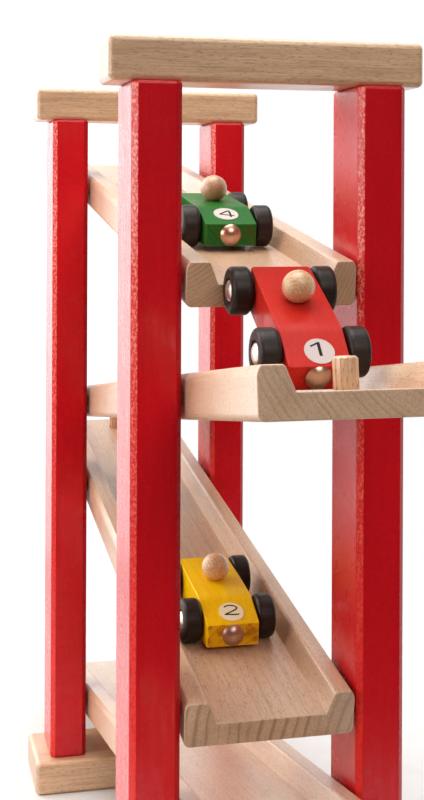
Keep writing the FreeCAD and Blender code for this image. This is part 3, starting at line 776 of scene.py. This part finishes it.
# %% Dress the car bodies
RED_CAR_TIP_DEG = 27.73
CAR_BODIES = {
    "green": {
        "turn": sloping(RAMP_SLOPE_DEG), "trunk": (-30.0, 0.0, -26.0),
        # The deep green is partly painted shade: it is darkened for the shade of the top boards over the
        # car.
        "pale": (0.020, 0.150, 0.020, 1.0), "deep": (0.011, 0.085, 0.012, 1.0),
        "patch": (0.050, 0.075, 0.010, 1.0),
    },
    "yellow": {
        "turn": sloping(RAMP_SLOPE_DEG), "trunk": (24.0, 0.0, -34.0),
        "pale": (0.930, 0.555, 0.003, 1.0), "deep": (0.720, 0.350, 0.003, 1.0),
        "patch": (0.440, 0.135, 0.008, 1.0),
    },
    "red": {
        "turn": sloping(RED_CAR_TIP_DEG), "trunk": (-40.0, 0.0, 18.0),
        "pale": (0.545, 0.022, 0.013, 1.0), "deep": (0.430, 0.012, 0.009, 1.0),
        "patch": (0.280, 0.009, 0.009, 1.0),
    },
}

for colour, block in CAR_BODIES.items():
    body = f"{colour}_car_body"
    dress(body, stained_body(f"{colour}_stain", middle_of(body), **block))
print("car bodies dressed:", len(CAR_BODIES))

# %% [markdown]
# ## Drivers
#
# Each driver is a beech ball with a flat seat. Here the trunk's middle lies inside the ball, so
# the cut shows lines round the flanks and circles at the two ends. Each ball was glued on with
# its grain another way.

# %% Dress the driver balls
DEEP_BALL = (0.400, 0.185, 0.085, 1.0)
BALL_TRUNK = (-0.5, 0.0, 0.8)
BALLS = {
    "green": {"turn_deg": (2, 0, -14), "pale": (0.620, 0.355, 0.180, 1.0)},
    # Painted light: the yellow ball is made paler to make up for the shade of the ramp above it.
    "yellow": {"turn_deg": (-28, 0, -38), "pale": (0.900, 0.570, 0.290, 1.0)},
    "red": {"turn_deg": (6, 0, -22), "pale": (0.740, 0.435, 0.215, 1.0)},
}

for colour, ball in BALLS.items():
    driver = f"{colour}_car_driver"
    turn = tuple(math.radians(angle) for angle in ball["turn_deg"])
    dress(driver, oiled_beech(
        f"beech_{colour}_driver", middle_of(driver), turn, BALL_TRUNK, ball["pale"], DEEP_BALL,
        Ring_Width=1.25, Ring_Depth=0.80, Late_Wood=0.15, Fleck_Depth=0.6, Figure_Depth=1.3,
        End_Darkness=0.12,
    ))
print("drivers dressed:", len(BALLS))

# %% [markdown]
# ## Dark wheels
#
# The wheels are turned and stained so dark that the wood shows only as a brown gleam, most of
# all on the worn edges. Fine lathe rings catch the light. The film is duller in patches, as if
# rubbed.

# %% The wheel material
WHEEL_BROWN = (0.0125, 0.0075, 0.0055, 1.0)
WHEEL_GLEAM = (0.0450, 0.0220, 0.0130, 1.0)


def dark_wheel(title, centre):
    """Very dark satin stain on a turned wheel whose axle runs along X."""
    material, tree, shader = new_material(
        title, Specular_IOR_Level=0.3, IOR=1.46, Coat_Weight=0.05, Coat_Roughness=0.30,
    )
    place = piece_frame(tree, centre, GRAIN_ALONG_Y)[0]
    rings = place_group(tree, turned_rings, Place=place, Pitch=0.55, Depth=0.030)
    film = place_group(
        tree, uneven_film, Place=place, Smooth=0.36, Rough=0.56, Wave_Size=0.9, Wave_Height=0.010,
    )
    fibre = cloud(tree, place, (0.12, 1.1, 1.1), 4.0, 0.65)
    share = calc(tree, "MULTIPLY", ramp_between(tree, fibre, 0.38, 0.70), rings["Mask"])
    worn = place_group(tree, edge_wear, Place=place, Radius=0.0010, Amount=0.5)["Mask"]
    stain = blend_colours(tree, share, WHEEL_BROWN, WHEEL_GLEAM)
    colour = blend_colours(tree, worn, stain, WHEEL_GLEAM)
    height = calc(tree, "ADD", rings["Height"], film["Height"])
    finish_surface(tree, shader, colour, film["Roughness"], height)
    return material


print("wheel stain from", WHEEL_BROWN[:3], "to", WHEEL_GLEAM[:3])

# %% [markdown]
# The lathe rings are measured from a wheel's own centre, so each wheel gets a material of its
# own.

# %% Dress the wheels
WHEELS = [
    f"{colour}_car_wheel_{end}_{side}"
    for colour in CAR_BODIES for end in ("front", "rear") for side in ("left", "right")
]
for wheel in WHEELS:
    dress(wheel, dark_wheel(f"dark_{wheel}", middle_of(wheel)))
print("wheels dressed:", len(WHEELS))

# %% [markdown]
# ## Metal domes and axles
#
# The nose tacks, the axle caps and the axles are bright plated steel. The tacks get a darker coppery tint
# that stands in for the beech they mirror: painted reflection. The caps and axles are nearly neutral.
# Fine scratches and a few dull spots show that the cars have been played with.

# %% The metal materials
DULL_METAL_GAIN = 0.72
SCRATCH_DEPTH_MM = 0.002
SCRATCH_ROUGHER = 0.10


def plated_metal(title, tint, smooth, rough):
    """Bright plated steel with light scratches and dull spots."""
    material, tree, shader = new_material(title, Metallic=1.0)
    place = piece_frame(tree, ORIGIN, GRAIN_ALONG_Y)[0]
    film = place_group(
        tree, uneven_film, Place=place, Smooth=smooth, Rough=rough, Wave_Size=2.2, Wave_Height=0.008,
    )
    scratches = ramp_between(tree, cloud(tree, place, (0.5, 6.0, 1.2), 3.0, 0.7), 0.60, 0.72)
    spots = calc(tree, "MULTIPLY", film["Patches"], 0.5)
    colour = blend_colours(tree, spots, tint, toned(tint, DULL_METAL_GAIN))
    rougher = calc(tree, "MULTIPLY", scratches, SCRATCH_ROUGHER)
    roughness = calc(tree, "ADD", film["Roughness"], rougher)
    height = calc(tree, "ADD", film["Height"], calc(tree, "MULTIPLY", scratches, -SCRATCH_DEPTH_MM))
    finish_surface(tree, shader, colour, roughness, height)
    return material


METALS = {
    # Painted reflection: the coppery tint of the tacks stands in for the beech round them.
    "nose_tack": plated_metal("plated_dome", (0.57, 0.38, 0.27, 1.0), 0.29, 0.40),
    "axle_caps": plated_metal("plated_cap", (0.90, 0.85, 0.79, 1.0), 0.28, 0.40),
    "axles": plated_metal("axle_steel", (0.62, 0.61, 0.60, 1.0), 0.25, 0.40),
}
for colour in CAR_BODIES:
    for piece, metal in METALS.items():
        dress(f"{colour}_car_{piece}", metal)
print("metals:", ", ".join(METALS))

# %% [markdown]
# ## Number labels
#
# A small round paper label sits on each hood. The paper is slightly creamy with visible fibre,
# and its cut edge is a touch darker. The number is printed on it with nearly black ink, which
# is a little thinner in places.

# %% Paper and ink
PAPER_TINTS = {
    "green": (0.640, 0.580, 0.520, 1.0),
    "yellow": (0.920, 0.790, 0.500, 1.0),
    "red": (0.640, 0.530, 0.500, 1.0),
}
PAPER_FIBRE_GAIN = 0.86
CUT_EDGE_GAIN = 0.68
INK_BLACK = (0.009, 0.008, 0.010, 1.0)
INK_THIN = (0.026, 0.023, 0.026, 1.0)
INK_ROUGHNESS = 0.4
THIN_INK_ROUGHER = 0.2


def label_paper(title, tint):
    """Slightly creamy matt paper."""
    material, tree, shader = new_material(title, Specular_IOR_Level=0.35)
    place = piece_frame(tree, ORIGIN, GRAIN_ALONG_Y)[0]
    fibres = ramp_between(tree, cloud(tree, place, 2.6, 5.0, 0.7), 0.35, 0.70)
    film = place_group(
        tree, uneven_film, Place=place, Smooth=0.50, Rough=0.66, Wave_Size=0.5, Wave_Height=0.006,
    )
    paper = blend_colours(tree, fibres, tint, toned(tint, PAPER_FIBRE_GAIN))
    worn = place_group(tree, edge_wear, Place=place, Radius=0.0004, Amount=0.6)["Mask"]
    colour = blend_colours(tree, worn, paper, toned(tint, CUT_EDGE_GAIN))
    finish_surface(tree, shader, colour, film["Roughness"], film["Height"])
    return material


def printing_ink():
    """Dark ink that is a little thinner in places."""
    material, tree, shader = new_material("printing_ink", Specular_IOR_Level=0.15)
    place = piece_frame(tree, ORIGIN, GRAIN_ALONG_Y)[0]
    thin = ramp_between(tree, cloud(tree, place, 3.2, 4.0, 0.7), 0.45, 0.75)
    roughness = calc(tree, "MULTIPLY_ADD", thin, THIN_INK_ROUGHER, INK_ROUGHNESS)
    finish_surface(tree, shader, blend_colours(tree, thin, INK_BLACK, INK_THIN), roughness)
    return material


ink = printing_ink()
for colour, tint in PAPER_TINTS.items():
    dress(f"{colour}_car_number_disc", label_paper(f"{colour}_label_paper", tint))
print("labels dressed:", len(PAPER_TINTS))

# %% [markdown]
# A picture texture could carry the number, but it stays sharp and goes over to other tools when
# it is a thin shape of its own: a pen line of given width that follows a few points. The points
# are joined by short steps of a smooth curve, and each step is widened to both sides.

# %% The pen line
CURVE_STEPS = 8


def smooth_path(points, steps):
    """Points along a curve that passes through the given ones."""
    ends = [points[0]] + list(points) + [points[-1]]
    path = []
    for a, b, c, d in zip(ends, ends[1:], ends[2:], ends[3:]):
        for step in range(steps):
            t = step / steps
            path.append(0.5 * ((2 * b) + (c - a) * t + (2 * a - 5 * b + 4 * c - d) * t * t
                               + (3 * b - a - 3 * c + d) * t * t * t))
    path.append(ends[-1])
    return path


def pen_strip(path, width):
    """Left and right points of a pen line."""
    left, right = [], []
    for index, point in enumerate(path):
        before = path[max(index - 1, 0)]
        after = path[min(index + 1, len(path) - 1)]
        heading = (after - before).normalized()
        side = Vector((-heading.y, heading.x)) * width / 2
        left.append(point + side)
        right.append(point - side)
    return left, right


print("steps between two points:", CURVE_STEPS)

# %% [markdown]
# The strip gets a little thickness, so that it is a closed solid and not a sheet. The frame of
# a label comes from its own mesh: its middle and the direction of its large face. The number
# rides on its car.

# %% Draw a number on a label
INK_THICKNESS = 0.04
INK_SINK = 0.01
ACROSS = Vector((1, 0, 0))


def label_frame(node):
    """Middle of a label's upper face, its normal, and the direction towards the car's tail."""
    raised = [face for face in nodes[node].data.polygons if face.normal.z > 0.5]
    normal = max(raised, key=lambda face: face.area).normal
    flat = [face for face in raised if face.normal.dot(normal) > 0.999]
    area = sum(face.area for face in flat)
    middle = sum((face.center * face.area for face in flat), Vector()) / area
    return middle, normal, normal.cross(ACROSS).normalized()


def add_stroke(stroke, label, vertices, faces):
    """Append one closed strip of ink to the lists of vertices and faces."""
    middle, normal, tailward = label
    path = smooth_path([Vector(point) for point in stroke["points"]], CURVE_STEPS)
    left, right = pen_strip(path, stroke["width"])
    first = len(vertices)
    for height in (-INK_SINK, INK_THICKNESS):
        for pair in zip(left, right):
            for spot in pair:
                offset = ACROSS * spot.x + tailward * spot.y + normal * height
                vertices.append(middle + offset * MILLIMETRE)
    count = len(left)
    top = first + 2 * count
    for step in range(count - 1):
        a, b = first + 2 * step, top + 2 * step
        faces += [(a, a + 1, a + 3, a + 2), (b, b + 2, b + 3, b + 1)]
        faces += [(a, a + 2, b + 2, b), (a + 1, b + 1, b + 3, a + 3)]
    last, top_last = first + 2 * count - 2, top + 2 * count - 2
    faces += [(first, top, top + 1, first + 1), (last, last + 1, top_last + 1, top_last)]


def draw_number(colour, strokes):
    """Closed thin strips on a car's label, riding on the car."""
    label = label_frame(f"{colour}_car_number_disc")
    vertices, faces = [], []
    for stroke in strokes:
        add_stroke(stroke, label, vertices, faces)
    mesh = bpy.data.meshes.new(f"{colour}_number")
    mesh.from_pydata(vertices, [], faces)
    mesh.validate()
    mesh.update()
    number = bpy.data.objects.new(f"{colour}_number", mesh)
    bpy.context.scene.collection.objects.link(number)
    mesh.materials.append(ink)
    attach(number, f"{colour}_car")
    print(number.name, "strokes:", len(strokes))


print("ink thickness in mm:", INK_THICKNESS)

# %% [markdown]
# The figures follow the ones in the picture: a leaning four, a sturdy one with a long flag, and
# a slim two with a round head. Points and widths are in millimetres. The points are measured
# from the label's middle, with the top of the figure towards the tail of the car.

# %% The three figures
FIGURES = {
    "green": [
        {"points": ((1.6, 2.9), (-0.3, 1.6), (-1.6, 0.6), (-2.9, -0.4)), "width": 0.80},
        {"points": ((-2.9, -0.45), (-1.4, -0.75), (0.4, -1.2), (3.4, -1.9)), "width": 0.72},
        {"points": ((1.35, 3.0), (1.85, 1.9), (1.8, 0.2), (1.65, -3.0)), "width": 0.95},
    ],
    "red": [
        {"points": ((-2.9, 2.1), (-1.6, 2.7), (-0.4, 3.3), (0.5, 3.6)), "width": 0.66},
        {"points": ((0.2, 3.8), (0.2, 1.8), (0.22, -2.1)), "width": 1.15},
    ],
    "yellow": [
        {"points": ((-2.6, 2.9), (-1.4, 3.6), (0.3, 3.75), (2.0, 3.2), (2.8, 2.2), (2.4, 1.4),
                    (1.2, 0.6), (-0.7, -0.3), (-2.8, -1.3)), "width": 0.66},
        {"points": ((-3.2, -1.35), (-1.2, -1.5), (0.9, -1.75), (3.1, -1.7)), "width": 0.72},
    ],
}
for colour, strokes in FIGURES.items():
    draw_number(colour, strokes)

# %% [markdown]
# ## Floor
#
# The tower stands on a plain pale floor before white. The floor is an oval that keeps the soft
# shadow near the feet and turns into the white of the backdrop further out. The camera sees
# white all round; polished surfaces see it behind the tower, where the backdrop stands.

# %% The pale floor
FLOOR_HALF_WIDTH = 0.42
FLOOR_HALF_LENGTH = 0.52
FLOOR_MIDDLE = (0.0, 0.11, 0.0)
FLOOR_CORNERS = 96
FLOOR_PALE = (0.80, 0.80, 0.79, 1.0)
FLOOR_GREY = (0.77, 0.77, 0.76, 1.0)
FADE_STARTS = 0.50
FADE_ENDS = 0.95
WHITE = (1.0, 1.0, 1.0, 1.0)


def pale_floor():
    """Pale matt floor that fades into white away from the tower."""
    material = bpy.data.materials.new("pale_floor")
    material.use_nodes = True
    tree = material.node_tree
    shader = tree.nodes["Principled BSDF"]
    spot = add(tree, "ShaderNodeTexCoord").outputs["Object"]
    mottle = ramp_between(tree, cloud(tree, spot, 60.0, 4.0, 0.6), 0.3, 0.7)
    plug(tree, shader.inputs["Base Color"], blend_colours(tree, mottle, FLOOR_PALE, FLOOR_GREY))
    shader.inputs["Roughness"].default_value = 0.7
    oval = vector_calc(tree, "MULTIPLY", spot, (1 / FLOOR_HALF_WIDTH, 1 / FLOOR_HALF_LENGTH, 0.0))
    away = ramp_between(tree, vector_calc(tree, "LENGTH", oval), FADE_STARTS, FADE_ENDS)
    rays = add(tree, "ShaderNodeLightPath").outputs
    far_half = ramp_between(tree, split(tree, spot)["Y"], -0.1, 0.2)
    mirrored = calc(tree, "ADD", rays["Is Glossy Ray"], rays["Is Transmission Ray"], clamp=True)
    mirrored = calc(tree, "MULTIPLY", mirrored, far_half)
    seen = calc(tree, "ADD", rays["Is Camera Ray"], mirrored, clamp=True)
    white = add(tree, "ShaderNodeEmission", {"Color": WHITE, "Strength": 1.0}).outputs[0]
    share = calc(tree, "MULTIPLY", away, seen)
    mixed = add(tree, "ShaderNodeMixShader", {0: share, 1: shader.outputs[0], 2: white})
    plug(tree, tree.nodes["Material Output"].inputs["Surface"], mixed.outputs[0])
    return material


rim = [math.radians(step * 360 / FLOOR_CORNERS) for step in range(FLOOR_CORNERS)]
rim = [(FLOOR_HALF_WIDTH * math.cos(turn), FLOOR_HALF_LENGTH * math.sin(turn), 0.0) for turn in rim]
floor_mesh = bpy.data.meshes.new("floor")
floor_mesh.from_pydata(rim, [], [range(FLOOR_CORNERS)])
floor = bpy.data.objects.new("floor", floor_mesh)
floor.location = FLOOR_MIDDLE
bpy.context.scene.collection.objects.link(floor)
floor.data.materials.append(pale_floor())
print("floor reaches", FLOOR_HALF_WIDTH, "by", FLOOR_HALF_LENGTH)

# %% [markdown]
# ## Surroundings
#
# Lacquer and metal show what is round them, so the world is a small studio: a white backdrop
# with a brighter patch on the left, a dim ceiling, and a dark room behind the camera, which
# keeps the red lacquer deep. The direction of each ray picks the part that it meets.

# %% The studio world
WHITE_BACKDROP = 1.0
LEFT_GLOW = 1.30
CEILING = 0.3
DARK_ROOM = 0.05
BACKDROP_TOP = 0.5
GLOW_SIDE = (-0.48, 0.87, 0.10)


def studio_world():
    """White behind the tower, dark behind the camera; plain white to the camera."""
    world = bpy.data.worlds.new("studio")
    bpy.context.scene.world = world
    world.use_nodes = True
    tree = world.node_tree
    background = tree.nodes["Background"]
    direction = add(tree, "ShaderNodeTexCoord").outputs["Generated"]
    parts = split(tree, direction)
    behind = ramp_between(tree, parts["Y"], -0.35, 0.25)
    level = calc(tree, "MULTIPLY_ADD", behind, WHITE_BACKDROP - DARK_ROOM, DARK_ROOM)
    above = calc(tree, "MULTIPLY", ramp_between(tree, parts["Z"], 0.40, 0.75), 1.0 - BACKDROP_TOP)
    level = calc(tree, "MULTIPLY", level, calc(tree, "SUBTRACT", 1.0, above))
    towards = ramp_between(tree, vector_calc(tree, "DOT_PRODUCT", direction, GLOW_SIDE), 0.70, 0.96)
    above_floor = ramp_between(tree, parts["Z"], -0.50, 0.10)
    level = calc(tree, "ADD", level, chain(tree, "MULTIPLY", towards, LEFT_GLOW, above_floor))
    ceiling = calc(tree, "MULTIPLY", ramp_between(tree, parts["Z"], 0.45, 0.95), CEILING)
    level = calc(tree, "MAXIMUM", level, ceiling)
    camera_ray = add(tree, "ShaderNodeLightPath").outputs["Is Camera Ray"]
    plug(tree, background.inputs["Strength"], calc(tree, "MAXIMUM", level, camera_ray))
    background.inputs["Color"].default_value = WHITE


studio_world()
bpy.context.scene.view_settings.view_transform = "Standard"
print("world:", bpy.context.scene.world.name)

# %% [markdown]
# ## Lamps
#
# Four soft lamps light the tower: a small one on the left for the shine on the planed corners,
# a large one high on the left, one above the camera and one over the tower.

# %% The four lamps
TOWER_MIDDLE = (0.0, 0.0, 0.2)
PLAIN_WHITE = (1.0, 1.0, 1.0)
LAMPS = {
    "left_lamp": {
        "place": (-1.20, -0.40, 0.50), "target": (0.0, -0.05, 0.26), "width": 0.45, "height": 0.45,
        "power": 5.0, "colour": (1.0, 1.0, 0.99),
    },
    "high_left_lamp": {
        "place": (-0.85, 0.50, 0.88), "target": TOWER_MIDDLE, "width": 0.9, "height": 0.9,
        "power": 6.0, "colour": PLAIN_WHITE,
    },
    "front_lamp": {
        "place": (0.35, -2.70, 2.10), "target": TOWER_MIDDLE, "width": 1.6, "height": 1.4,
        "power": 39.5, "colour": (1.0, 0.985, 0.965),
    },
    "top_lamp": {
        "place": (-0.10, 0.00, 1.35), "target": TOWER_MIDDLE, "width": 1.0, "height": 1.0,
        "power": 14.0, "colour": PLAIN_WHITE,
    },
}


def soft_lamp(name, place, target, width, height, power, colour):
    """Large rectangular lamp that faces a target."""
    data = bpy.data.lights.new(name, "AREA")
    data.shape = "RECTANGLE"
    data.size = width
    data.size_y = height
    data.energy = power
    data.color = colour
    lamp = bpy.data.objects.new(name, data)
    lamp.location = place
    lamp.rotation_euler = (Vector(target) - Vector(place)).to_track_quat("-Z", "Y").to_euler()
    bpy.context.scene.collection.objects.link(lamp)


for name, values in LAMPS.items():
    soft_lamp(name, **values)
print("lamps:", len(LAMPS))

# %% [markdown]
# ## Finish
#
# The last line prints how many materials were made.

# %% Finish
print("materials:", len(finished))
